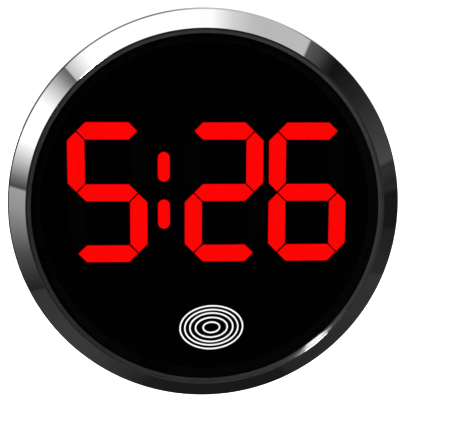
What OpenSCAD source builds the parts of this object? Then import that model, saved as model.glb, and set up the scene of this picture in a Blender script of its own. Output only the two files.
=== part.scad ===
// Round wall timer with a three-digit LED display and a touch key.
// It is held on a surface by its magnetic back. Units are millimetres.
// The display faces -Y, digits upright along +Z, and the origin is the
// centre of the back's mounting plane.

/* [Case] */
// Outside diameter of the bezel
bezel_d = 60; // [60:0.5:64]
// Depth from the mounting plane to the crest of the bezel
total_depth = 19.5; // [19.5:0.5:22]
// Radial width of the bezel's sloping face
slope_w = 3.14; // [2.6:0.02:3.4]
// Depth of the bezel's sloping face
slope_h = 3.7; // [3.6:0.1:4.2]
// Radial width of the steep edge outside the sloping face
rim_w = 0.24; // [0.1:0.01:0.3]
// Radial width of the dark ring between bezel and window
trim_w = 0.54; // [0.5:0.01:0.74]
// Diameter of the case at its back edge
back_d = 53.2; // [52.6:0.2:54]

/* [Display] */
// Height of a digit
digit_h = 21.2; // [18:0.1:21.2]
// Width of a digit
digit_w = 11.9; // [10:0.1:12]
// Width of one display segment
segment_t = 2.6; // [2:0.01:2.7]
// Gap between two neighbouring segments
segment_gap = 0.2; // [0.1:0.05:0.4]
// Height of the digits' centre above the case's centre
digit_z = 2.4; // [1.5:0.05:2.6]
// Centre of the minutes digit
digit_1_x = -14.85; // [-15:0.05:-14]
// Centre of the tens-of-seconds digit
digit_2_x = 2.7; // [2.4:0.05:2.8]
// Centre of the seconds digit
digit_3_x = 15.45; // [15.1:0.05:15.6]
// Centre of the colon
colon_x = -6.4; // [-6.8:0.05:-6]
// Width of a colon bar
colon_w = 1.8; // [1.4:0.01:2]
// Length of a colon bar
colon_h = 4.5; // [3.5:0.05:5]
// Minutes shown
minutes = 5; // [0:1:9]
// Seconds shown
seconds = 26; // [0:1:59]

/* [Touch key] */
// Centre of the touch symbol across the face
touch_x = 0.76; // [-1:0.02:1]
// Centre of the touch symbol up the face
touch_z = -18.14; // [-18.4:0.02:-17.5]
// Line width of the symbol's rings
touch_line = 0.23; // [0.2:0.01:0.4]
// Tilt of the symbol on the face
touch_tilt = 3; // [0:0.5:5]

/* [Battery] */
// Diameter of the coin cell
cell_d = 24.5; // [23:0.5:24.5]
// Height of the coin cell
cell_h = 5; // [4.8:0.1:5]
// Lead of the battery cover's three-start thread
thread_lead = 3; // [3:0.3:3]
// Width of the coin slot
coin_slot_w = 1.8; // [1.6:0.1:2.4]
// Length of the coin slot
coin_slot_l = 14; // [10:1:18]

/* [Fastening] */
// Radius of the circle of case screws
screw_circle_r = 22; // [21.9:0.1:22.1]
// Radius of the circle of magnets
magnet_circle_r = 21.4; // [21.2:0.1:21.5]
// Diameter of a magnet
magnet_d = 6; // [4:0.5:6]
// Thickness of a magnet
magnet_h = 2; // [1.5:0.1:2]

/* [Hidden] */
$fn = 96;
R = bezel_d / 2;              // rim of the bezel
T = total_depth;              // crest of the bezel
crest_r = R - slope_w;        // outer edge of the crest
lip_r = crest_r - 0.2;        // inner edge of the bezel's lip
bore_r = crest_r + 0.02;      // bezel's bore
frame_r = bore_r - 0.1;       // front frame's outside
frame_in_r = frame_r - 1.4;   // front frame's inside
trim_r = lip_r - trim_w;      // inner edge of the trim ring
lens_r = trim_r + 0.38;       // edge of the window
lens_front = T - 0.62;        // window's outer face
lens_back = T - 2.12;         // window's inner face
ledge_top = T - 2.22;         // seat of the window's tape
ledge_under = T - 3.2;
mask_t = 0.12;                // black film on the window's back
block_front = T - 2.35;       // face of the reflector block
block_back = T - 6.15;
board_front = T - 6.2;
board_back = T - 7.4;
frame_back = T - 8.6;
rim_top = T - 5.7;            // where the rear case meets the bezel
rim_r = bore_r + 1.2;
back_r = back_d / 2;
screw_angles = [90, 210, 330];
magnet_angles = [30, 150, 270];
slot_angles = [258, 264, 270, 276, 282];
buzzer_at = [0, -17.2];
module_screws = [[-8.6, 17], [8.6, 17], [-10.5, -14.2], [11.5, -14.2]];
// battery well, from the mounting plane
flange_r = 16.7;
thread_r = 15.1;
well_r = cell_d / 2 + 0.55;
cell_low = 2.3;
cell_top = cell_low + cell_h;
floor_low = cell_top + 0.45;
floor_top = floor_low + 1;
thread_from = 3.4;
thread_to = 4.85;
// rings of the touch symbol: full width and full height of each outer edge
touch_rings = [[9.8, 6.93], [8.36, 5.76], [6.8, 4.7], [5.08, 3.31], [2.74, 1.85]];
// segments a to g of each figure
figures = [
    [1, 1, 1, 1, 1, 1, 0], [0, 1, 1, 0, 0, 0, 0], [1, 1, 0, 1, 1, 0, 1],
    [1, 1, 1, 1, 0, 0, 1], [0, 1, 1, 0, 0, 1, 1], [1, 0, 1, 1, 0, 1, 1],
    [1, 0, 1, 1, 1, 1, 1], [1, 1, 1, 0, 0, 0, 0], [1, 1, 1, 1, 1, 1, 1],
    [1, 1, 1, 1, 0, 1, 1]
];
digit_xs = [digit_1_x, digit_2_x, digit_3_x];
shown = [minutes, floor(seconds / 10), seconds % 10];
// routes of the two battery leads, round figures
red_route = [[-12.45, 0, 9.4], [-12.45, 0, 9.9], [-13.4, 1.8, 10.4], [-15, 5, 10.2], [-14.8, 8, 10.3], [-13.4, 9.8, 10.8], [-12.8, 10.2, 11.4], [-12.8, 10.2, 12.05]];
black_route = [[9, 0, 9.4], [9, 0, 9.9], [10.2, 1.2, 10.4], [12.6, 3, 10.2], [14.6, 5.4, 10.3], [15.2, 7.4, 10.8], [15.2, 8, 11.4], [15.2, 8, 12.05]];

// ---- helpers -------------------------------------------------------------

// turns a piece drawn face up, measured from the mounting plane, to face -Y
module upright() rotate([90, 0, 0]) children();

module ring_of(points) rotate_extrude() polygon(points);

module tube(r_out, r_in, z0, z1)
    translate([0, 0, z0]) difference() {
        cylinder(r = r_out, h = z1 - z0);
        translate([0, 0, -1]) cylinder(r = r_in, h = z1 - z0 + 2);
    }

module disc(r, z0, z1) translate([0, 0, z0]) cylinder(r = r, h = z1 - z0);

module block(cx, cy, w, d, z0, z1)
    translate([cx - w / 2, cy - d / 2, z0]) cube([w, d, z1 - z0]);

module around(angles, r)
    for (a = angles) rotate([0, 0, a]) translate([r, 0, 0]) children();

function unit(v) = v / norm(v);
function curve_at(p, i, u) =
    let (n = len(p),
        a = p[max(i - 1, 0)], b = p[i], c = p[min(i + 1, n - 1)], d = p[min(i + 2, n - 1)])
    0.5 * (2 * b + (c - a) * u + (2 * a - 5 * b + 4 * c - d) * u * u
        + (3 * b - a - 3 * c + d) * u * u * u);
function smooth(p, k) = concat(
    [for (i = [0 : len(p) - 2]) for (j = [0 : k - 1]) curve_at(p, i, j / k)],
    [p[len(p) - 1]]);

// closed solid swept through rings of points, all with the same count
module skin(rings) {
    n = len(rings[0]);
    m = len(rings);
    points = [for (ring = rings) for (p = ring) p];
    sides = [for (i = [0 : m - 2]) for (j = [0 : n - 1]) for (half = [0, 1])
        half == 0
        ? [i * n + j, i * n + (j + 1) % n, (i + 1) * n + (j + 1) % n]
        : [i * n + j, (i + 1) * n + (j + 1) % n, (i + 1) * n + j]];
    first = [for (j = [1 : n - 2]) [0, j + 1, j]];
    last = [for (j = [1 : n - 2]) [(m - 1) * n, (m - 1) * n + j, (m - 1) * n + j + 1]];
    polyhedron(points = points, faces = concat(sides, first, last), convexity = 8);
}

// round wire along a path whose direction is never along x
module wire(path, r, sides = 8)
    skin([for (i = [0 : len(path) - 1])
        let (t = unit(path[min(i + 1, len(path) - 1)] - path[max(i - 1, 0)]),
            u = unit(cross([1, 0, 0], t)), v = cross(t, u))
        [for (k = [0 : sides - 1])
            path[i] + r * (cos(-360 * k / sides) * u + sin(-360 * k / sides) * v)]]);

// one thread ridge: foot radius, crest radius, start angle
module ridge(foot, crest, start, z0, z1) {
    steps = ceil((z1 - z0) / thread_lead * 72);
    inner = crest < foot;
    skin([for (i = [0 : steps])
        let (z = z0 + (z1 - z0) * i / steps, a = start + 360 * (z - z0) / thread_lead,
            section = [[foot, -0.3], [crest, -0.12], [crest, 0.12], [foot, 0.3]],
            order = inner ? [3, 2, 1, 0] : [0, 1, 2, 3])
        [for (k = order) [section[k][0] * cos(a), section[k][0] * sin(a), z + section[k][1]]]]);
}

// ---- display shapes ------------------------------------------------------

// a bar with pointed ends, along x, from tip to tip
module bar(length, t)
    polygon([[-length / 2, 0], [-length / 2 + t / 2, t / 2], [length / 2 - t / 2, t / 2],
        [length / 2, 0], [length / 2 - t / 2, -t / 2], [-length / 2 + t / 2, -t / 2]]);

module segment(k) {
    t = segment_t;
    tip = segment_gap / sqrt(2);
    across = digit_w - t - 2 * tip;
    half = (digit_h - t) / 2;
    side = (digit_w - t) / 2;
    if (k == 0) translate([0, half]) bar(across, t);
    if (k == 1) translate([side, half / 2]) rotate(90) bar(half - 2 * tip, t);
    if (k == 2) translate([side, -half / 2]) rotate(90) bar(half - 2 * tip, t);
    if (k == 3) translate([0, -half]) bar(across, t);
    if (k == 4) translate([-side, -half / 2]) rotate(90) bar(half - 2 * tip, t);
    if (k == 5) translate([-side, half / 2]) rotate(90) bar(half - 2 * tip, t);
    if (k == 6) bar(across, t);
}

// where a segment's light sits, from the digit's centre
function segment_at(k) =
    let (half = (digit_h - segment_t) / 2, side = (digit_w - segment_t) / 2)
    [[0, half], [side, half / 2], [side, -half / 2], [0, -half], [-side, -half / 2],
        [-side, half / 2], [0, 0]][k];

module digit_bars(d, want)
    for (k = [0 : 6]) if (figures[shown[d]][k] == want)
        translate([digit_xs[d], digit_z, block_front - 2.75])
            linear_extrude(2.75) segment(k);

module colon_bar()
    union() {
        translate([-colon_w / 2, -(colon_h - colon_w) / 2]) square([colon_w, colon_h - colon_w]);
        for (s = [-1, 1]) translate([0, s * (colon_h - colon_w) / 2]) circle(d = colon_w);
    }

colon_zs = [digit_z + 3.92, digit_z - 3.27];

function oval(w, h) = [for (a = [0 : 5 : 355]) [w / 2 * cos(a), h / 2 * sin(a)]];

// ---- front ---------------------------------------------------------------

module bezel_ring() color("silver") upright() union() {
    ring_of([
        [lip_r, T - 0.25], [lip_r, T - 0.05], [lip_r + 0.05, T], [crest_r, T],
        [R - rim_w, T - slope_h * (slope_w - rim_w) / slope_w], [R, T - slope_h - 0.34], [R, T - 5.4], [R - 0.2, T - 5.6],
        [R - 1.1, T - 5.6], [R - 1.1, T - slope_h - 0.2], [R - 1.8, T - 3.3],
        [R - 2, T - 3.3], [bore_r + 1, T - 5.6], [bore_r, T - 5.6], [bore_r, T - 0.25]
    ]);
    // snap beads that hold the ring on the front frame
    for (a = [0 : 60 : 300]) rotate([0, 0, a + 18]) rotate_extrude(angle = 24)
        polygon([[bore_r + 0.2, T - 5.3], [bore_r - 0.22, T - 5.05], [bore_r - 0.22, T - 4.75], [bore_r + 0.2, T - 4.5]]);
}

// dark ring whose crowned face falls away towards the window
module trim_ring() color([0.2, 0.2, 0.21]) upright() {
    arc_r = (lip_r - 0.06 - trim_r) / (sin(45) - sin(15));
    ring_of(concat(
        [[trim_r, lens_front]],
        [for (a = [45 : -5 : 15]) [lip_r - 0.06 + arc_r * (sin(15) - sin(a)), T - 0.2 + arc_r * (cos(a) - cos(15))]],
        [[lip_r - 0.03, T - 0.27], [bore_r - 0.04, T - 0.27], [bore_r - 0.04, ledge_top + 0.01],
            [lens_r + 0.05, ledge_top + 0.01], [lens_r + 0.05, lens_front]]));
}

module front_lens() color([0.05, 0.05, 0.055, 0.6]) upright() disc(lens_r, lens_back, lens_front);

module touch_symbol() color("white") upright()
    translate([touch_x, touch_z, lens_front]) rotate([0, 0, touch_tilt]) for (s = touch_rings)
        linear_extrude(0.05) difference() {
            polygon(oval(s[0], s[1]));
            polygon(oval(s[0] - 2 * touch_line, s[1] - 2 * touch_line));
        }

module lens_tape() color([0.12, 0.12, 0.12]) upright() tube(lens_r - 0.1, frame_in_r - 0.4, ledge_top, lens_back);

module front_frame() color([0.09, 0.09, 0.1]) upright() difference() {
    union() {
        ring_of([
            [frame_in_r - 0.5, ledge_top], [frame_r, ledge_top], [frame_r, T - 4.4],
            [frame_r - 0.3, T - 4.4], [frame_r - 0.3, T - 5.4], [frame_r, T - 5.4],
            [frame_r, T - 6.55], [frame_r - 0.6, T - 6.55], [frame_r - 0.6, T - 7.4],
            [frame_r, T - 7.4], [frame_r, frame_back], [frame_in_r, frame_back],
            [frame_in_r, ledge_under], [frame_in_r - 0.5, ledge_under]
        ]);
        around(screw_angles, screw_circle_r) {
            disc(2.3, board_front, ledge_under + 0.4);
            block(2.1, 0, 4.2, 3.4, board_front, ledge_under + 0.4);
        }
    }
    around(screw_angles, screw_circle_r) disc(1, board_front - 1, ledge_under - 0.4);
}

// black film on the window's back, cut out over each segment
module display_mask() color([0.02, 0.02, 0.02]) upright()
    translate([0, 0, lens_back - mask_t]) linear_extrude(mask_t) difference() {
        circle(r = frame_in_r - 0.6);
        for (d = [0 : 2], k = [0 : 6]) translate([digit_xs[d], digit_z]) segment(k);
        for (z = colon_zs) translate([colon_x, z]) colon_bar();
    }

module reflector_block() color([0.04, 0.04, 0.04]) upright() difference() {
    union() {
        disc(frame_in_r - 0.2, block_back, ledge_under - 0.05);
        disc(frame_in_r - 0.65, block_back, block_front);
    }
    // notches round the frame's bosses
    around(screw_angles, screw_circle_r) {
        disc(2.6, block_back - 1, block_front + 1);
        block(3, 0, 6, 4, block_back - 1, block_front + 1);
    }
    // light wells
    for (d = [0 : 2], k = [0 : 6])
        translate([digit_xs[d], digit_z, block_back - 1]) linear_extrude(10) segment(k);
    for (z = colon_zs) translate([colon_x, z, block_back - 1]) linear_extrude(10) colon_bar();
    translate([touch_x, touch_z, 0]) disc(3.9, block_back - 1, block_front + 1);
    for (p = module_screws) translate([p[0], p[1], 0]) disc(0.6, block_back - 1, block_back + 2.6);
}

module minutes_segments() color("red") upright() digit_bars(0, 1);
module tens_segments() color("red") upright() digit_bars(1, 1);
module seconds_segments() color("red") upright() digit_bars(2, 1);
module unlit_segments() color([0.1, 0.02, 0.02]) upright() for (d = [0 : 2]) digit_bars(d, 0);

module colon_bars() color("red") upright()
    for (z = colon_zs) translate([colon_x, z, block_front - 2.75]) linear_extrude(2.75) colon_bar();

module segment_leds() color([0.95, 0.9, 0.75]) upright() {
    for (d = [0 : 2], k = [0 : 6])
        block(digit_xs[d] + segment_at(k)[0], digit_z + segment_at(k)[1],
            k == 0 || k == 3 || k == 6 ? 1.6 : 0.8, k == 0 || k == 3 || k == 6 ? 0.8 : 1.6,
            board_front, board_front + 0.6);
    for (z = colon_zs) block(colon_x, z, 0.8, 1.6, board_front, board_front + 0.6);
}

// ---- electronics ---------------------------------------------------------

module display_board() color([0.05, 0.3, 0.12]) upright() difference() {
    disc(frame_in_r - 0.2, board_back, board_front);
    around(screw_angles, screw_circle_r) disc(1.2, board_back - 1, board_front + 1);
    for (p = module_screws) translate([p[0], p[1], 0]) disc(0.8, board_back - 1, board_front + 1);
}

module module_screws() color("gainsboro") upright() for (p = module_screws)
    translate([p[0], p[1], 0]) difference() {
        union() {
            disc(0.58, board_back - 0.2, block_back + 2.4);
            disc(1.3, board_back - 0.8, board_back);
        }
        block(0, 0, 1.6, 0.36, board_back - 1.2, board_back - 0.4);
        block(0, 0, 0.36, 1.6, board_back - 1.2, board_back - 0.4);
    }

module touch_spring() color("silver") upright()
    translate([touch_x, touch_z, 0]) {
        turns = 4;
        low = board_front + 0.22;
        high = lens_back - mask_t - 0.22;
        skin([for (i = [0 : 18 * turns])
            let (u = i / (18 * turns), a = 360 * turns * u, z = low + (high - low) * (u * u * (3 - 2 * u)))
            [for (k = [0 : 7])
                let (rr = 2.9 + 0.2 * cos(-45 * k), dz = 0.2 * sin(-45 * k))
                [rr * cos(a), rr * sin(a), z + dz]]]);
    }

module leaded_chip(w, d, h, pins, pitch) {
    block(0, 0, w, d, board_back - h, board_back - 0.12);
    for (s = [-1, 1], i = [0 : pins - 1])
        translate([(i - (pins - 1) / 2) * pitch, 0, 0]) {
            block(0, s * (d / 2 + 0.2), pitch * 0.35, 0.4, board_back - h / 2 - 0.1, board_back - h / 2 + 0.1);
            block(0, s * (d / 2 + 0.45), pitch * 0.35, 0.18, board_back - h / 2 - 0.1, board_back);
            block(0, s * (d / 2 + 0.75), pitch * 0.35, 0.6, board_back - 0.16, board_back);
        }
}

module controller_chip() color([0.1, 0.1, 0.11]) upright() translate([-2.5, 6, 0]) leaded_chip(8.6, 4, 1.6, 12, 0.65);
module touch_chip() color([0.1, 0.1, 0.11]) upright() translate([7.5, -9, 0]) leaded_chip(2.9, 1.6, 1.1, 3, 0.95);

module crystal() color("gainsboro") upright() translate([4.6, 3.6, board_back - 1.02]) {
    rotate([0, 90, 0]) cylinder(d = 2, h = 6);
    for (s = [-1, 1]) translate([-1.6, s * 0.45, 0]) rotate([0, 90, 0]) cylinder(d = 0.3, h = 1.6);
}

resistor_at = [[-11, 3], [-11, 1.4], [-11, -0.2], [-8.8, 3], [-8.8, 1.4], [-8.8, -0.2], [3.4, -1.8], [3.4, -3.4], [3.4, -5], [10.6, -6]];
capacitor_at = [[-4.6, -1.6], [-4.6, -3.4], [-1.6, -1.6], [4.2, 10.6], [6.8, 7.4], [9.6, 7.4], [7.4, -12.4]];

module chip_resistors() color([0.15, 0.15, 0.16]) upright()
    for (p = resistor_at) block(p[0], p[1], 1.6, 0.8, board_back - 0.45, board_back);

module chip_capacitors() color([0.72, 0.6, 0.42]) upright()
    for (p = capacitor_at) block(p[0], p[1], 1.6, 0.8, board_back - 0.8, board_back);

module tantalum_capacitor() color([0.85, 0.6, 0.15]) upright() block(-9.6, -5.2, 3.5, 2.8, board_back - 1.9, board_back);

module buzzer_case() color([0.12, 0.12, 0.13]) upright() translate([buzzer_at[0], buzzer_at[1], 0]) difference() {
    block(0, 0, 9, 9, board_back - 2.6, board_back);
    disc(3.9, board_back - 2, board_back - 0.4);
    // sound port towards the case's slots
    translate([0, 0, board_back - 1.2]) rotate([90, 0, 0]) cylinder(d = 1.2, h = 6);
}

module buzzer_disc() color([0.8, 0.65, 0.3]) upright() translate([buzzer_at[0], buzzer_at[1], 0])
    disc(3.85, board_back - 0.65, board_back - 0.45);

// ---- rear ----------------------------------------------------------------

module case_seal() color([0.08, 0.08, 0.08]) upright()
    translate([0, 0, T - 6.975]) rotate_extrude() translate([frame_r - 0.26, 0]) circle(r = 0.33);

module rear_case() color([0.09, 0.09, 0.1]) upright() difference() {
    union() {
        ring_of([
            [0, floor_top], [16.5, floor_top], [16.5, 2.6], [back_r - 1.7, 2.6],
            [frame_in_r + 0.4, frame_back - 0.1], [bore_r, frame_back - 0.1], [bore_r, rim_top],
            [rim_r, rim_top], [rim_r, rim_top - 1.2], [back_r, 2.2], [back_r - 0.12, 1.5],
            [back_r - 0.5, 0.85], [back_r - 1.1, 0.5], [back_r - 1.7, 0.4], [24.8, 0.4], [24.8, 0.8],
            [18, 0.8], [18, 0.4], [16.9, 0.4], [16.9, 2], [15.3, 2], [15.3, 3.1],
            [thread_r, 3.1], [thread_r, 5.4], [well_r, 5.4], [well_r, floor_low], [0, floor_low]
        ]);
        around(screw_angles, screw_circle_r) disc(2.7, 2, board_back);
        around(magnet_angles, magnet_circle_r) disc(4, 2, 3.8);
        for (k = [0 : 2]) ridge(thread_r + 0.06, thread_r - 0.5, 120 * k + 60, thread_from, thread_to + 0.2);
    }
    around(screw_angles, screw_circle_r) {
        disc(1.15, 0, board_back + 1);
        disc(2.2, 0, 3.4);
    }
    around(magnet_angles, magnet_circle_r) disc(magnet_d / 2 + 0.06, 0, 0.85 + magnet_h);
    for (a = slot_angles) rotate([0, 0, a]) block(26, 0, 6, 1, 6.2, 9.6);
    // slots for the two contact tails
    block(-12.45, 0, 0.5, 3.4, 7, 10);
    block(9, 0, 0.5, 2.4, 7, 10);
}

module case_screws() color("gainsboro") upright() around(screw_angles, screw_circle_r) difference() {
    union() {
        disc(0.97, 3, ledge_under - 0.7);
        disc(1.9, 2.1, 3.4);
    }
    block(0, 0, 2.4, 0.5, 1, 2.8);
    block(0, 0, 0.5, 2.4, 1, 2.8);
}

module magnets() color("silver") upright() around(magnet_angles, magnet_circle_r) disc(magnet_d / 2, 0.82, 0.82 + magnet_h);

module grip_pad() color([0.07, 0.07, 0.07]) upright() difference() {
    tube(24.75, 18.05, 0, 0.8);
    around(screw_angles, screw_circle_r) disc(2.3, -1, 2);
    // grooves between the gripping ribs
    for (r = [18.9 : 1 : 23.9]) tube(r + 0.18, r - 0.18, -1, 0.22);
}

module sound_membrane() color([0.2, 0.2, 0.2]) upright() rotate([0, 0, 252]) rotate_extrude(angle = 36) {
    foot = back_r - 1.7;
    top = frame_in_r + 0.4;
    span = frame_back - 0.1 - 2.6;
    low = foot + (top - foot) * (5.6 - 2.6) / span;
    high = foot + (top - foot) * (10.2 - 2.6) / span;
    polygon([[low - 0.03, 5.6], [high - 0.03, 10.2], [high - 0.23, 10.2], [low - 0.23, 5.6]]);
}

// ---- battery -------------------------------------------------------------

module coin_cell_can() color("silver") upright() ring_of([
    [0, cell_low], [cell_d / 2 - 0.25, cell_low], [cell_d / 2, cell_low + 0.25], [cell_d / 2, cell_top - 0.6],
    [cell_d / 2 - 0.2, cell_top - 0.35], [cell_d / 2 - 0.85, cell_top - 0.3], [cell_d / 2 - 0.85, cell_top - 0.55],
    [cell_d / 2 - 0.3, cell_top - 0.65], [cell_d / 2 - 0.3, cell_low + 0.3], [0, cell_low + 0.3]
]);

module coin_cell_gasket() color([0.75, 0.75, 0.72]) upright() ring_of([
    [cell_d / 2 - 0.32, cell_low + 0.32], [cell_d / 2 - 0.32, cell_top - 0.68], [cell_d / 2 - 0.87, cell_top - 0.57],
    [cell_d / 2 - 0.87, cell_top - 0.32], [cell_d / 2 - 1.3, cell_top - 0.32], [cell_d / 2 - 1.3, cell_low + 0.32]
]);

module coin_cell_cap() color("gainsboro") upright() ring_of([
    [0, cell_low + 0.32], [cell_d / 2 - 1.32, cell_low + 0.32], [cell_d / 2 - 1.32, cell_top - 0.25],
    [cell_d / 2 - 1.6, cell_top], [0, cell_top]
]);

module negative_contact() color("gainsboro") upright() {
    difference() {
        union() {
            disc(7, floor_low - 0.2, floor_low);
            block(8, 0, 2.2, 2, floor_low - 0.2, floor_low);
        }
        for (s = [-1, 1]) block(0, s * 3, 8.4, 1.8, floor_low - 1, floor_low + 1);
    }
    // two lanced fingers that press on the cell
    for (s = [-1, 1]) translate([0, s * 3 + 0.7, 0]) rotate([90, 0, 0]) linear_extrude(1.4)
        polygon([[-4.2, floor_low - 0.2], [-4.2, floor_low], [-3.6, floor_low], [2.6, cell_top + 0.22],
            [3.8, cell_top + 0.3], [3.8, cell_top + 0.14], [2.6, cell_top + 0.02], [2.2, cell_top + 0.02], [-3.6, floor_low - 0.2]]);
    block(9, 0, 0.2, 2, floor_low - 0.2, 9.4);
}

module positive_contact() color("gainsboro") upright() {
    x = -cell_d / 2;
    translate([0, 1.5, 0]) rotate([90, 0, 0]) linear_extrude(3)
        polygon([[x - 0.3, 5.65], [x - 0.02, 6.1], [x - 0.02, 6.4], [x - 0.1, 7], [x - 0.1, 9.4],
            [x - 0.3, 9.4], [x - 0.3, 7], [x - 0.22, 6.4], [x - 0.22, 6.2], [x - 0.42, 5.8]]);
}

module red_lead() color("red") upright() wire(smooth(red_route, 5), 0.5);
module black_lead() color([0.05, 0.05, 0.05]) upright() wire(smooth(black_route, 5), 0.5);

module battery_cover() color([0.09, 0.09, 0.1]) upright() difference() {
    union() {
        ring_of([
            [0, 0.75], [9.2, 0.75], [9.6, 0.55], [flange_r - 0.3, 0.55], [flange_r, 0.85], [flange_r, 1.95], [15.1, 1.95],
            [15.1, 2.02], [14.2, 2.02], [14.2, 3.04], [thread_r - 0.65, 3.04], [thread_r - 0.65, 5.2],
            [12.95, 5.2], [12.95, 2.1], [0, 2.1]
        ]);
        for (k = [0 : 2]) ridge(thread_r - 0.7, thread_r - 0.15, 120 * k, thread_from, thread_to);
    }
    // grip notches in the rim, and an arrow head beside the slot
    for (a = [0 : 15 : 345]) rotate([0, 0, a]) translate([flange_r + 0.25, 0, 0]) disc(0.55, 0, 1.25);
    translate([0, 12.6, 0]) linear_extrude(0.75) polygon([[-0.9, 0], [0.9, 0], [0, 1.6]]);
    // coin slot with round ends
    block(0, 0, coin_slot_l - coin_slot_w, coin_slot_w, 0, 1.5);
    for (s = [-1, 1]) translate([s * (coin_slot_l - coin_slot_w) / 2, 0, 0]) disc(coin_slot_w / 2, 0, 1.5);
}

module battery_cover_seal() color([0.5, 0.12, 0.1]) upright()
    translate([0, 0, 2.53]) rotate_extrude() translate([14.75, 0]) circle(r = 0.48);

module cell_pad() color([0.25, 0.25, 0.27]) upright() disc(8, 2.1, cell_low);

bezel_ring();
trim_ring();
front_lens();
touch_symbol();
lens_tape();
front_frame();
display_mask();
reflector_block();
minutes_segments();
tens_segments();
seconds_segments();
colon_bars();
unlit_segments();
segment_leds();
display_board();
module_screws();
touch_spring();
controller_chip();
touch_chip();
crystal();
chip_resistors();
chip_capacitors();
tantalum_capacitor();
buzzer_case();
buzzer_disc();
case_seal();
rear_case();
case_screws();
magnets();
grip_pad();
sound_membrane();
coin_cell_can();
coin_cell_gasket();
coin_cell_cap();
negative_contact();
positive_contact();
red_lead();
black_lead();
battery_cover();
battery_cover_seal();
cell_pad();
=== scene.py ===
import math

import bmesh
import bpy
from mathutils import Matrix, Vector


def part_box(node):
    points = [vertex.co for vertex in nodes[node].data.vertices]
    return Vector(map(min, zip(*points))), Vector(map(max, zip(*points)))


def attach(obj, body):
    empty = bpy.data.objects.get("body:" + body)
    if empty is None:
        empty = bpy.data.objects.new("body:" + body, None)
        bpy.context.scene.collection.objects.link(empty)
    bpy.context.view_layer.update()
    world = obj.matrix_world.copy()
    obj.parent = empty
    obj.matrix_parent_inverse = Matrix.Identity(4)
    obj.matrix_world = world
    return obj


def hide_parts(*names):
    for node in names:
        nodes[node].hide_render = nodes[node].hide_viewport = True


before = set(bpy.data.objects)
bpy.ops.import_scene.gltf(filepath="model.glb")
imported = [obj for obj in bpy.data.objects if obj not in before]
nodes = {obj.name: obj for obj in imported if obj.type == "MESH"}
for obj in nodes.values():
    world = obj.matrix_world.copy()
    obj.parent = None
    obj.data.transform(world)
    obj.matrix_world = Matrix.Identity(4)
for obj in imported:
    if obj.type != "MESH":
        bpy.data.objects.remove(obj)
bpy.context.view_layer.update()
scene = bpy.context.scene
MM = 0.001

# every height below is measured from the mounting plane towards the viewer
bezel_low, bezel_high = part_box("bezel_ring")
R = bezel_high.x / MM                      # rim of the bezel
T = -bezel_low.y / MM                      # crest of the bezel
LENS_FRONT = -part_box("front_lens")[0].y / MM
LENS_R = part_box("front_lens")[1].x / MM


# ---------------------------------------------------------------- materials

class Mat:
    """A Principled material with short ways to add procedural nodes."""

    def __init__(self, name, base=(0.5, 0.5, 0.5), rough=0.5, metal=0.0, **inputs):
        self.mat = bpy.data.materials.new(name)
        self.mat.use_nodes = True
        self.nt = self.mat.node_tree
        self.p = self.nt.nodes["Principled BSDF"]
        self.p.inputs["Base Color"].default_value = (*base, 1)
        self.p.inputs["Roughness"].default_value = rough
        self.p.inputs["Metallic"].default_value = metal
        for k, v in inputs.items():
            s = self.p.inputs[k.replace("_", " ")]
            s.default_value = (*v, 1) if isinstance(v, tuple) and len(v) == 3 else v
        self.where = self.nt.nodes.new("ShaderNodeTexCoord").outputs["Object"]

    def add(self, kind, **props):
        n = self.nt.nodes.new(kind)
        for k, v in props.items():
            setattr(n, k, v)
        return n

    def link(self, a, b):
        self.nt.links.new(a, b)

    def stretched(self, scale, turn=(0, 0, 0)):
        m = self.add("ShaderNodeMapping")
        m.inputs["Scale"].default_value = scale
        m.inputs["Rotation"].default_value = turn
        self.link(self.where, m.inputs["Vector"])
        return m.outputs[0]

    def noise(self, scale, detail=3.0, rough=0.5, vector=None):
        n = self.add("ShaderNodeTexNoise")
        n.inputs["Scale"].default_value = scale
        n.inputs["Detail"].default_value = detail
        n.inputs["Roughness"].default_value = rough
        self.link(vector or self.where, n.inputs["Vector"])
        return n.outputs["Fac"]

    def cells(self, scale, vector=None, feature="F1"):
        n = self.add("ShaderNodeTexVoronoi", feature=feature)
        n.inputs["Scale"].default_value = scale
        self.link(vector or self.where, n.inputs["Vector"])
        return n.outputs["Distance"]

    def ranged(self, value, low, high, at=(0.3, 0.7)):
        n = self.add("ShaderNodeMapRange")
        n.inputs["From Min"].default_value, n.inputs["From Max"].default_value = at
        n.inputs["To Min"].default_value, n.inputs["To Max"].default_value = low, high
        self.link(value, n.inputs["Value"])
        return n.outputs["Result"]

    def colours(self, value, stops):
        n = self.add("ShaderNodeValToRGB")
        e = n.color_ramp.elements
        while len(e) > 1:
            e.remove(e[-1])
        e[0].position, e[0].color = stops[0][0], (*stops[0][1], 1)
        for at, c in stops[1:]:
            e.new(at).color = (*c, 1)
        self.link(value, n.inputs["Fac"])
        return n.outputs["Color"]

    def maths(self, op, a, b):
        n = self.add("ShaderNodeMath", operation=op)
        for i, v in enumerate((a, b)):
            if isinstance(v, (int, float)):
                n.inputs[i].default_value = v
            else:
                self.link(v, n.inputs[i])
        return n.outputs[0]

    def base(self, socket):
        self.link(socket, self.p.inputs["Base Color"])
        return self

    def rough(self, socket):
        self.link(socket, self.p.inputs["Roughness"])
        return self

    def bump(self, height, distance, strength=1.0):
        n = self.add("ShaderNodeBump")
        n.inputs["Strength"].default_value = strength
        n.inputs["Distance"].default_value = distance
        self.link(height, n.inputs["Height"])
        self.link(n.outputs["Normal"], self.p.inputs["Normal"])
        return self


def chrome():
    m = Mat("bezel_chrome_plate", (0.85, 0.85, 0.852), 0.03, 1.0)
    m.base(m.colours(m.noise(220, 4), [(0.3, (0.835, 0.835, 0.838)), (0.7, (0.868, 0.868, 0.871))]))
    m.rough(m.ranged(m.noise(900, 5), 0.014, 0.03))
    return m.mat


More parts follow.
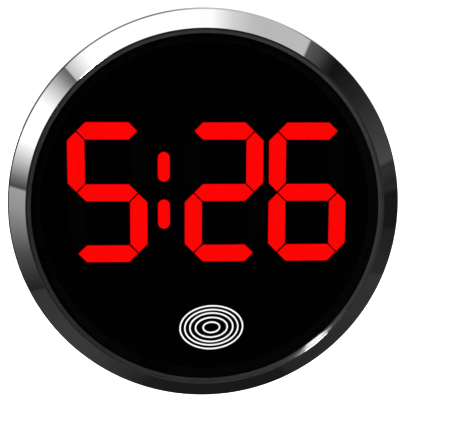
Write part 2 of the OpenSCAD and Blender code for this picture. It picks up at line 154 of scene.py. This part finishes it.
def trim_black():
    m = Mat("trim_piano_black", (0.019, 0.019, 0.0195), 0.12, IOR=1.5)
    m.base(m.colours(m.noise(500, 3), [(0.3, (0.0175, 0.0175, 0.018)), (0.7, (0.021, 0.021, 0.0215))]))
    m.rough(m.ranged(m.noise(1400, 4), 0.08, 0.14))
    return m.mat


def smoked():
    m = Mat("window_smoked_acrylic", (0.0001, 0.0001, 0.0001), 0.02, IOR=1.49, Specular_IOR_Level=0.12, Alpha=0.6)
    m.rough(m.ranged(m.noise(300, 4), 0.012, 0.03))
    return m.mat


def lit_red():
    m = Mat("segments_lit_red", (0.75, 0.004, 0.003), 0.6, Emission_Color=(1.0, 0.0, 0.0), Emission_Strength=5.8)
    m.base(m.colours(m.noise(700, 3), [(0.3, (0.62, 0.0015, 0.001)), (0.7, (0.72, 0.003, 0.002))]))
    return m.mat


def unlit_red():
    m = Mat("segments_unlit", (0.006, 0.0012, 0.0012), 0.5)
    m.base(m.colours(m.noise(700, 3), [(0.3, (0.005, 0.001, 0.001)), (0.7, (0.007, 0.0015, 0.0015))]))
    return m.mat


def print_white():
    m = Mat("touch_ring_ink", (0.55, 0.55, 0.55), 0.6)
    m.base(m.colours(m.noise(2500, 4), [(0.3, (0.5, 0.5, 0.5)), (0.7, (0.6, 0.6, 0.6))]))
    return m.mat


def moulded(name, dark, light, rough=(0.38, 0.5), grain=5200, depth=0.00002):
    """Spark-textured moulded plastic."""
    m = Mat(name, dark, 0.45)
    m.base(m.colours(m.noise(600, 4), [(0.3, dark), (0.7, light)]))
    m.rough(m.ranged(m.noise(2600, 5), *rough))
    h = m.maths("ADD", m.noise(grain, 2, 0.6), m.maths("MULTIPLY", m.cells(grain * 0.7), 0.6))
    m.bump(h, depth)
    return m.mat


def rubber(name, dark, light, grain=3500, depth=0.00002, rough=(0.62, 0.78)):
    m = Mat(name, dark, 0.7)
    m.base(m.colours(m.noise(400, 5), [(0.3, dark), (0.7, light)]))
    m.rough(m.ranged(m.noise(1500, 4), *rough))
    m.bump(m.noise(grain, 3, 0.6), depth)
    return m.mat


def steel(name, dark, light, rough=(0.22, 0.38), scratch=(9000, 500, 9000), depth=0.000004):
    """Plated or rolled metal with fine drawing lines."""
    m = Mat(name, dark, 0.3, 1.0)
    lines = m.noise(1.0, 4, 0.6, m.stretched(scratch))
    m.base(m.colours(m.noise(350, 4), [(0.3, dark), (0.7, light)]))
    m.rough(m.ranged(lines, *rough))
    m.bump(lines, depth)
    return m.mat


def board():
    m = Mat("board_solder_mask", (0.01, 0.12, 0.04), 0.3, Coat_Weight=0.3, Coat_Roughness=0.15)
    tracks = m.add("ShaderNodeTexBrick")
    tracks.offset = 0.35
    tracks.inputs["Scale"].default_value = 420
    tracks.inputs["Mortar Size"].default_value = 0.016
    tracks.inputs["Color1"].default_value = (0.010, 0.13, 0.045, 1)
    tracks.inputs["Color2"].default_value = (0.012, 0.145, 0.05, 1)
    tracks.inputs["Mortar"].default_value = (0.03, 0.23, 0.085, 1)
    turn = m.stretched((1, 1, 1), (math.pi / 2, 0, 0))
    m.link(turn, tracks.inputs["Vector"])
    m.base(tracks.outputs["Color"])
    m.rough(m.ranged(m.noise(1200, 3), 0.24, 0.36))
    m.bump(tracks.outputs["Fac"], 0.00002)
    return m.mat


def epoxy():
    m = Mat("chip_mould", (0.012, 0.012, 0.013), 0.5)
    m.base(m.colours(m.noise(3000, 4), [(0.3, (0.010, 0.010, 0.011)), (0.7, (0.018, 0.018, 0.019))]))
    m.rough(m.ranged(m.noise(4000, 4), 0.42, 0.6))
    m.bump(m.noise(9000, 3), 0.00001)
    return m.mat


def ceramic(name, a, b):
    m = Mat(name, a, 0.35)
    m.base(m.colours(m.noise(2500, 4), [(0.3, a), (0.7, b)]))
    m.rough(m.ranged(m.noise(2500, 3), 0.3, 0.45))
    return m.mat


def cloth_mesh():
    m = Mat("sound_mesh", (0.03, 0.03, 0.032), 0.8)
    weave = m.maths("MULTIPLY", m.cells(5200), 1.6)
    m.base(m.colours(weave, [(0.2, (0.006, 0.006, 0.006)), (0.8, (0.05, 0.05, 0.052))]))
    m.bump(weave, 0.00006)
    return m.mat


CHROME = chrome()
TRIM = trim_black()
SMOKED = smoked()
LIT = lit_red()
UNLIT = unlit_red()
INK = print_white()
CASE = moulded("case_spark_textured_black", (0.0125, 0.0125, 0.0135), (0.019, 0.019, 0.0205))
COVER = moulded("cover_spark_textured_black", (0.014, 0.014, 0.015), (0.022, 0.022, 0.0235), (0.34, 0.46))
FRAME_BLACK = moulded("frame_black", (0.014, 0.014, 0.015), (0.02, 0.02, 0.021))
REFLECTOR = moulded("reflector_matt_black", (0.0012, 0.0012, 0.0012), (0.002, 0.002, 0.002), (0.75, 0.9))
FILM = moulded("display_film_black", (0.0003, 0.0003, 0.0003), (0.0006, 0.0006, 0.0006), (0.8, 0.95), 9000, 0.000004)
FILM.node_tree.nodes["Principled BSDF"].inputs["Specular IOR Level"].default_value = 0.1
PAD = rubber("pad_rubber", (0.014, 0.014, 0.0145), (0.022, 0.022, 0.0225))
SEAL = rubber("seal_rubber", (0.01, 0.01, 0.01), (0.016, 0.016, 0.016), rough=(0.4, 0.55))
COVER_SEAL = rubber("cover_seal_silicone", (0.2, 0.022, 0.015), (0.27, 0.03, 0.02), rough=(0.35, 0.5))
FOAM = rubber("cell_pad_foam", (0.03, 0.03, 0.034), (0.055, 0.055, 0.06), 6000, 0.00006)
TAPE = rubber("window_tape", (0.006, 0.006, 0.006), (0.01, 0.01, 0.01))
SCREW = steel("screw_zinc_plate", (0.58, 0.59, 0.61), (0.68, 0.69, 0.71), (0.2, 0.3), (2500, 2500, 2500), 0.0000008)
SPRING = steel("spring_wire", (0.6, 0.6, 0.6), (0.7, 0.7, 0.7))
CELL = steel("cell_stainless", (0.58, 0.58, 0.58), (0.7, 0.7, 0.7), (0.14, 0.28), (300, 9000, 9000))
CONTACT = steel("contact_nickel", (0.6, 0.58, 0.53), (0.7, 0.68, 0.62))
MAGNET = steel("magnet_nickel", (0.55, 0.55, 0.56), (0.63, 0.63, 0.64), (0.08, 0.18), (2500, 2500, 2500))
CAN = steel("crystal_can", (0.6, 0.6, 0.6), (0.7, 0.7, 0.7), (0.15, 0.3))
BRASS = steel("buzzer_brass", (0.6, 0.42, 0.15), (0.72, 0.53, 0.22), (0.25, 0.4), (6000, 6000, 6000))

LOOKS = {
    "bezel_ring": CHROME, "trim_ring": TRIM, "front_lens": SMOKED, "touch_symbol": INK,
    "lens_tape": TAPE, "front_frame": FRAME_BLACK, "display_mask": FILM, "reflector_block": REFLECTOR,
    "minutes_segments": LIT, "tens_segments": LIT, "seconds_segments": LIT, "colon_bars": LIT,
    "unlit_segments": UNLIT, "segment_leds": ceramic("led_resin", (0.78, 0.62, 0.25), (0.9, 0.76, 0.38)),
    "display_board": board(), "module_screws": SCREW, "touch_spring": SPRING,
    "controller_chip": epoxy(), "touch_chip": epoxy(), "crystal": CAN,
    "chip_resistors": ceramic("resistor_film", (0.015, 0.015, 0.017), (0.03, 0.03, 0.032)),
    "chip_capacitors": ceramic("capacitor_ceramic", (0.26, 0.17, 0.09), (0.36, 0.25, 0.14)),
    "tantalum_capacitor": ceramic("tantalum_mould", (0.55, 0.25, 0.03), (0.66, 0.33, 0.05)),
    "buzzer_case": moulded("buzzer_black", (0.012, 0.012, 0.013), (0.02, 0.02, 0.021)),
    "buzzer_disc": BRASS, "case_seal": SEAL, "rear_case": CASE, "case_screws": SCREW,
    "magnets": MAGNET, "grip_pad": PAD, "sound_membrane": cloth_mesh(),
    "coin_cell_can": CELL, "coin_cell_gasket": rubber("cell_gasket", (0.3, 0.3, 0.28), (0.4, 0.4, 0.38)),
    "coin_cell_cap": CELL, "negative_contact": CONTACT, "positive_contact": CONTACT,
    "red_lead": rubber("lead_red_pvc", (0.32, 0.008, 0.008), (0.42, 0.012, 0.012), rough=(0.35, 0.5)),
    "black_lead": rubber("lead_black_pvc", (0.01, 0.01, 0.01), (0.016, 0.016, 0.016), rough=(0.35, 0.5)),
    "battery_cover": COVER, "battery_cover_seal": COVER_SEAL, "cell_pad": FOAM,
}


def dress(obj, mat, angle=32):
    obj.data.materials.clear()
    obj.data.materials.append(mat)
    obj.data.shade_smooth()
    obj.data.set_sharp_from_angle(angle=math.radians(angle))


for name, obj in nodes.items():
    dress(obj, LOOKS[name])


# ------------------------------------------------------------------ shaping

def rounded(points, steps=5):
    """The closed outline with a radius at each corner that has one: points are (r, h, radius)."""
    out = []
    n = len(points)
    for i, (x, y, rad) in enumerate(points):
        p = Vector((x, y))
        if rad <= 0:
            out.append(p)
            continue
        a = Vector(points[i - 1][:2]) - p
        b = Vector(points[(i + 1) % n][:2]) - p
        half = a.angle(b) / 2
        cut = min(rad / math.tan(half), a.length * 0.49, b.length * 0.49)
        rad = cut * math.tan(half)
        centre = p + (a.normalized() + b.normalized()).normalized() * (rad / math.sin(half))
        s, e = p + a.normalized() * cut - centre, p + b.normalized() * cut - centre
        turn = math.atan2(s.x * e.y - s.y * e.x, s.dot(e))
        for k in range(steps + 1):
            out.append(centre + Matrix.Rotation(turn * k / steps, 2) @ s)
    return out


def turned(name, outline, body, mat, stands_for, segments=288, angle=30):
    """A ring or disc turned round the Y axis from a closed outline of (radius, height) in millimetres."""
    bm = bmesh.new()
    rows = []
    for p in outline:
        if p[0] < 1e-6:
            rows.append([bm.verts.new((0, -p[1] * MM, 0))])
            continue
        rows.append([
            bm.verts.new((p[0] * MM * math.cos(2 * math.pi * k / segments), -p[1] * MM,
                          p[0] * MM * math.sin(2 * math.pi * k / segments)))
            for k in range(segments)])
    count = len(rows)
    for i in range(count):
        a, b = rows[i], rows[(i + 1) % count]
        if len(a) == 1 and len(b) == 1:
            continue
        for k in range(segments):
            j = (k + 1) % segments
            ring = [a[k % len(a)], b[k % len(b)], b[j % len(b)], a[j % len(a)]]
            corners = list(dict.fromkeys(ring))
            bm.faces.new(corners)
    bmesh.ops.recalc_face_normals(bm, faces=bm.faces)
    me = bpy.data.meshes.new(name)
    bm.to_mesh(me)
    bm.free()
    obj = bpy.data.objects.new(name, me)
    scene.collection.objects.link(obj)
    dress(obj, mat, angle)
    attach(obj, body)
    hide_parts(*stands_for)
    return obj


# bezel: one straight polished cone between a narrow crest and a steep edge
RIM, CREST = 0.28, R - 3.14
CONE = 3.7 * (3.14 - RIM) / 3.14
turned("bezel_polished", rounded([
    (CREST - 0.2, T - 0.25, 0), (CREST - 0.2, T, 0.03), (CREST, T, 0.05), (R - RIM, T - CONE, 0.04),
    (R, T - 4.04, 0.06), (R, T - 5.6, 0.22), (R - 1.1, T - 5.6, 0.08), (R - 1.1, T - 3.9, 0), (R - 1.8, T - 3.3, 0),
    (R - 2, T - 3.3, 0), (CREST + 1.02, T - 5.6, 0.08), (CREST + 0.02, T - 5.6, 0.08), (CREST + 0.02, T - 0.25, 0),
], 6), "case", CHROME, ["bezel_ring"], 360, 50)

# trim: a crowned ring that falls away towards the window
TRIM_IN, TRIM_OUT = LENS_R - 0.38, CREST - 0.26
ARC = (TRIM_OUT - TRIM_IN) / (math.sin(math.radians(48)) - math.sin(math.radians(17)))
crown = [Vector((TRIM_OUT + ARC * (math.sin(math.radians(17)) - math.sin(a)),
                 T - 0.2 + ARC * (math.cos(a) - math.cos(math.radians(17)))))
         for a in (math.radians(48 - 31 * k / 12) for k in range(13))]
turned("trim_crowned", [Vector((TRIM_IN, LENS_FRONT + 0.005))] + crown + [
    Vector((CREST - 0.23, T - 0.225)), Vector((CREST - 0.225, T - 0.27)), Vector((CREST - 0.02, T - 0.27)),
    Vector((CREST - 0.02, T - 2.15)), Vector((CREST - 0.07, T - 2.2)), Vector((LENS_R + 0.1, T - 2.2)),
    Vector((LENS_R + 0.05, T - 2.15)), Vector((LENS_R + 0.05, LENS_FRONT + 0.005)),
], "case", TRIM, ["trim_ring"], 360, 40)

# window: polished, with a small chamfer where it meets the trim
turned("window_polished", [
    Vector((0, LENS_FRONT - 1.5)), Vector((LENS_R - 0.05, LENS_FRONT - 1.5)), Vector((LENS_R, LENS_FRONT - 1.45)),
    Vector((LENS_R, LENS_FRONT - 0.05)), Vector((LENS_R - 0.05, LENS_FRONT)), Vector((0, LENS_FRONT)),
], "case", SMOKED, ["front_lens"], 288, 20)


# ------------------------------------------------------------------- studio

def look(direction, roll):
    """Camera axes for a viewing direction, with a roll about it."""
    right = direction.cross(Vector((0, 0, 1))).normalized()
    up = right.cross(direction)
    return right * math.cos(roll) + up * math.sin(roll), up * math.cos(roll) - right * math.sin(roll)


AZ, EL, ROLL = math.radians(-4.18), math.radians(8.30), math.radians(0.32)
DIST, FOCAL, LONG = 149.6 * MM, 1000.0, 452.0
AT = (206.95, 210.25)                       # where the centre of the crest's plane falls in the frame
back = Vector((math.sin(AZ) * math.cos(EL), -math.cos(AZ) * math.cos(EL), math.sin(EL)))
right, up = look(-back, ROLL)
cam_data = bpy.data.cameras.new("camera")
cam = bpy.data.objects.new("camera", cam_data)
scene.collection.objects.link(cam)
cam_data.sensor_width = 36
cam_data.lens = FOCAL * 36 / LONG
cam_data.clip_start, cam_data.clip_end = 0.01, 50
place = (Vector((0, -T * MM, 0)) + back * DIST
         - right * ((AT[0] - 226) / FOCAL * DIST) + up * ((AT[1] - 218) / FOCAL * DIST))
turn = Matrix((right, up, back)).transposed()
cam.matrix_world = Matrix.Translation(place) @ turn.to_4x4()
scene.camera = cam

scene.view_settings.view_transform = "Standard"
scene.view_settings.look = "None"

# pale floor, well below the part, which is held by its back
floor_mesh = bpy.data.meshes.new("floor")
s = 6.0
floor_mesh.from_pydata([(-s, -s, -0.32), (s, -s, -0.32), (s, s, -0.32), (-s, s, -0.32)], [], [(0, 1, 2, 3)])
floor = bpy.data.objects.new("floor", floor_mesh)
scene.collection.objects.link(floor)
fl = Mat("studio_floor", (0.9, 0.9, 0.9), 0.9, Emission_Color=(1.0, 1.0, 1.0), Emission_Strength=0.75)
floor_mesh.materials.append(fl.mat)
floor.visible_glossy = False

# studio surroundings: white to the eye, with soft boxes and dark flags round
# the part for its gloss. Each panel spans a range of directions round the
# display's axis, in degrees counted from the right through the top.
PANELS = [                                 # from, to, brightness at each end
    (0, 3.8, 0.022, 0.035), (4.2, 5.4, 0.028, 0.034), (5.9, 20, 0.072, 0.038), (28, 38.5, 0.021, 0.009), (40.4, 43, 0.008, 0.021),
    (43, 47, 0.021, 0.073), (47, 50.9, 0.073, 0.108), (51.5, 66, 0.59, 0.555), (71, 78, 0.59, 0.74),
    (85, 129, 1.15, 1.25), (131, 138.1, 1.15, 0.60), (138.5, 141.1, 0.13, 0.27), (141.1, 152, 0.27, 1.2),
    (155, 165.5, 1.25, 1.2), (168, 173.6, 0.97, 0.50), (173.6, 177.7, 0.50, 0.20), (177.7, 180.9, 0.20, 0.06),
    (181.5, 187, 0.39, 0.35), (191, 201, 0.27, 0.100), (204, 210, 0.068, 0.036), (210, 214, 0.036, 0.019),
    (214.6, 230, 0.040, 0.049), (240, 255.6, 0.046, 0.020), (256.2, 263, 0.015, 0.012), (285, 294.3, 0.011, 0.012),
    (295.1, 311, 0.020, 0.028), (320, 331.9, 0.033, 0.037), (332.5, 345.5, 0.025, 0.0165), (346.2, 356.7, 0.010, 0.011),
    (357.2, 360, 0.024, 0.021)]
world = bpy.data.worlds.new("studio")
scene.world = world
world.use_nodes = True
nt = world.node_tree
nt.nodes.clear()


def wnode(kind, **props):
    n = nt.nodes.new(kind)
    for k, v in props.items():
        setattr(n, k, v)
    return n


def wmath(op, *values, clamp=False):
    n = wnode("ShaderNodeMath", operation=op, use_clamp=clamp)
    for i, v in enumerate(values):
        if isinstance(v, (int, float)):
            n.inputs[i].default_value = v
        else:
            nt.links.new(v, n.inputs[i])
    return n.outputs[0]


def wstep(value, low, high):
    """0 below low, 1 above high, smooth between."""
    n = wnode("ShaderNodeMapRange", interpolation_type="SMOOTHSTEP")
    nt.links.new(value, n.inputs["Value"])
    n.inputs["From Min"].default_value, n.inputs["From Max"].default_value = low, high
    return n.outputs["Result"]


sep = wnode("ShaderNodeSeparateXYZ")
nt.links.new(wnode("ShaderNodeTexCoord").outputs["Generated"], sep.inputs[0])
dx, dy, dz = sep.outputs
alpha = wmath("DEGREES", wmath("ARCCOSINE", wmath("MULTIPLY", dy, -1.0)))    # angle from the display's axis
phi = wmath("DEGREES", wmath("ARCTAN2", dz, dx))
phi = wmath("MODULO", wmath("ADD", phi, 360.0), 360.0)
TOP = 1.3


def wpanels(where, panels):
    """One ramp over a run of panels."""
    low, high = panels[0][0], panels[-1][1]
    ramp = wnode("ShaderNodeValToRGB")
    e = ramp.color_ramp.elements
    stops = [(at, v / TOP) for a, b, va, vb in panels for at, v in ((a, va), (b - 0.02, vb))]
    for i, (at, v) in enumerate(stops):
        at = (at - low) / (high - low)
        if i < 2:
            e[i].position = at
        else:
            e.new(at)
        e[i].color = (v, v, v, 1)
    nt.links.new(wmath("DIVIDE", wmath("SUBTRACT", where, low), high - low), ramp.inputs["Fac"])
    return wmath("MULTIPLY", ramp.outputs["Color"], TOP)


side = None
for first, last in ((0, 10), (10, 20), (20, 30)):
    part = wpanels(phi, PANELS[first:last])
    if side is None:
        side = part
    else:
        over = wmath("GREATER_THAN", phi, (PANELS[first - 1][1] + PANELS[first][0]) / 2)
        side = wmath("ADD", wmath("MULTIPLY", side, wmath("SUBTRACT", 1.0, over)), wmath("MULTIPLY", part, over))
front = wmath("SUBTRACT", 1.0, wstep(alpha, 77, 90))
core = wmath("SUBTRACT", 1.0, wstep(alpha, 8, 13))
rear = wstep(alpha, 132, 140)
front_light = wmath("ADD", 0.010, wmath("MULTIPLY", wmath("SUBTRACT", 1.0, core), 0.024))
# behind the part: dim at the left and below, lighter at the top right
rear_light = wmath("ADD", 0.02, wmath("MULTIPLY", wmath("MULTIPLY", wstep(phi, 40, 60),
                                                        wmath("SUBTRACT", 1.0, wstep(phi, 82, 104))), 0.5))
# round the back: a soft fill, brighter above and towards the floor, for the back's sheen
fill = wmath("ADD", wmath("ADD", 0.3, wmath("MULTIPLY", wstep(dz, 0.12, 0.36), 0.9)),
             wmath("MULTIPLY", wmath("SUBTRACT", 1.0, wstep(dz, -0.35, -0.08)), 0.5))
rear_light = wmath("ADD", rear_light, wmath("MULTIPLY", fill, wmath(
    "MULTIPLY", wstep(alpha, 149, 155), wmath("SUBTRACT", 1.0, wstep(alpha, 165, 171)))))
# a small strip light, upper left in front, for the trim's glint
reach = wmath("SUBTRACT", 8.1, wmath("MULTIPLY", alpha, 0.067))
middle = wmath("SUBTRACT", 136.7, wmath("MULTIPLY", alpha, 0.072))
off = wmath("ABSOLUTE", wmath("SUBTRACT", phi, middle), 0.0)
strip = wmath("MULTIPLY", wmath("SUBTRACT", 1.0, wstep(wmath("SUBTRACT", off, reach), -0.7, 0.7)),
              wmath("MULTIPLY", wstep(alpha, 8, 12), wmath("SUBTRACT", 1.0, wstep(alpha, 88, 94))))
value = wmath("ADD", wmath("MULTIPLY", side, wmath("SUBTRACT", 1.0, front)), wmath("MULTIPLY", front_light, front))
value = wmath("ADD", wmath("MULTIPLY", value, wmath("SUBTRACT", 1.0, rear)), wmath("MULTIPLY", rear, rear_light))
value = wmath("ADD", value, wmath("MULTIPLY", strip, 25.0))
shine = wnode("ShaderNodeBackground")
shine.inputs["Color"].default_value = (1, 1, 1, 1)
nt.links.new(value, shine.inputs["Strength"])
seen = wnode("ShaderNodeBackground")
seen.inputs["Color"].default_value = (1, 1, 1, 1)
seen.inputs["Strength"].default_value = 1.05
path = wnode("ShaderNodeLightPath")
mix = wnode("ShaderNodeMixShader")
nt.links.new(path.outputs["Is Camera Ray"], mix.inputs[0])
nt.links.new(shine.outputs[0], mix.inputs[1])
nt.links.new(seen.outputs[0], mix.inputs[2])
out = wnode("ShaderNodeOutputWorld")
nt.links.new(mix.outputs[0], out.inputs[0])


def softbox(name, at, size, power, target=(0, 0, 0)):
    d = bpy.data.lights.new(name, "AREA")
    d.shape, d.size, d.energy = "SQUARE", size, power
    o = bpy.data.objects.new(name, d)
    scene.collection.objects.link(o)
    o.location = at
    o.rotation_mode = "QUATERNION"
    o.rotation_quaternion = (Vector(target) - Vector(at)).to_track_quat("-Z", "Y")
    o.visible_glossy = False
    return o


softbox("key", (-0.5, -0.7, 0.8), 0.5, 2)
softbox("rear_fill", (0.7, 0.65, 0.65), 0.5, 24)
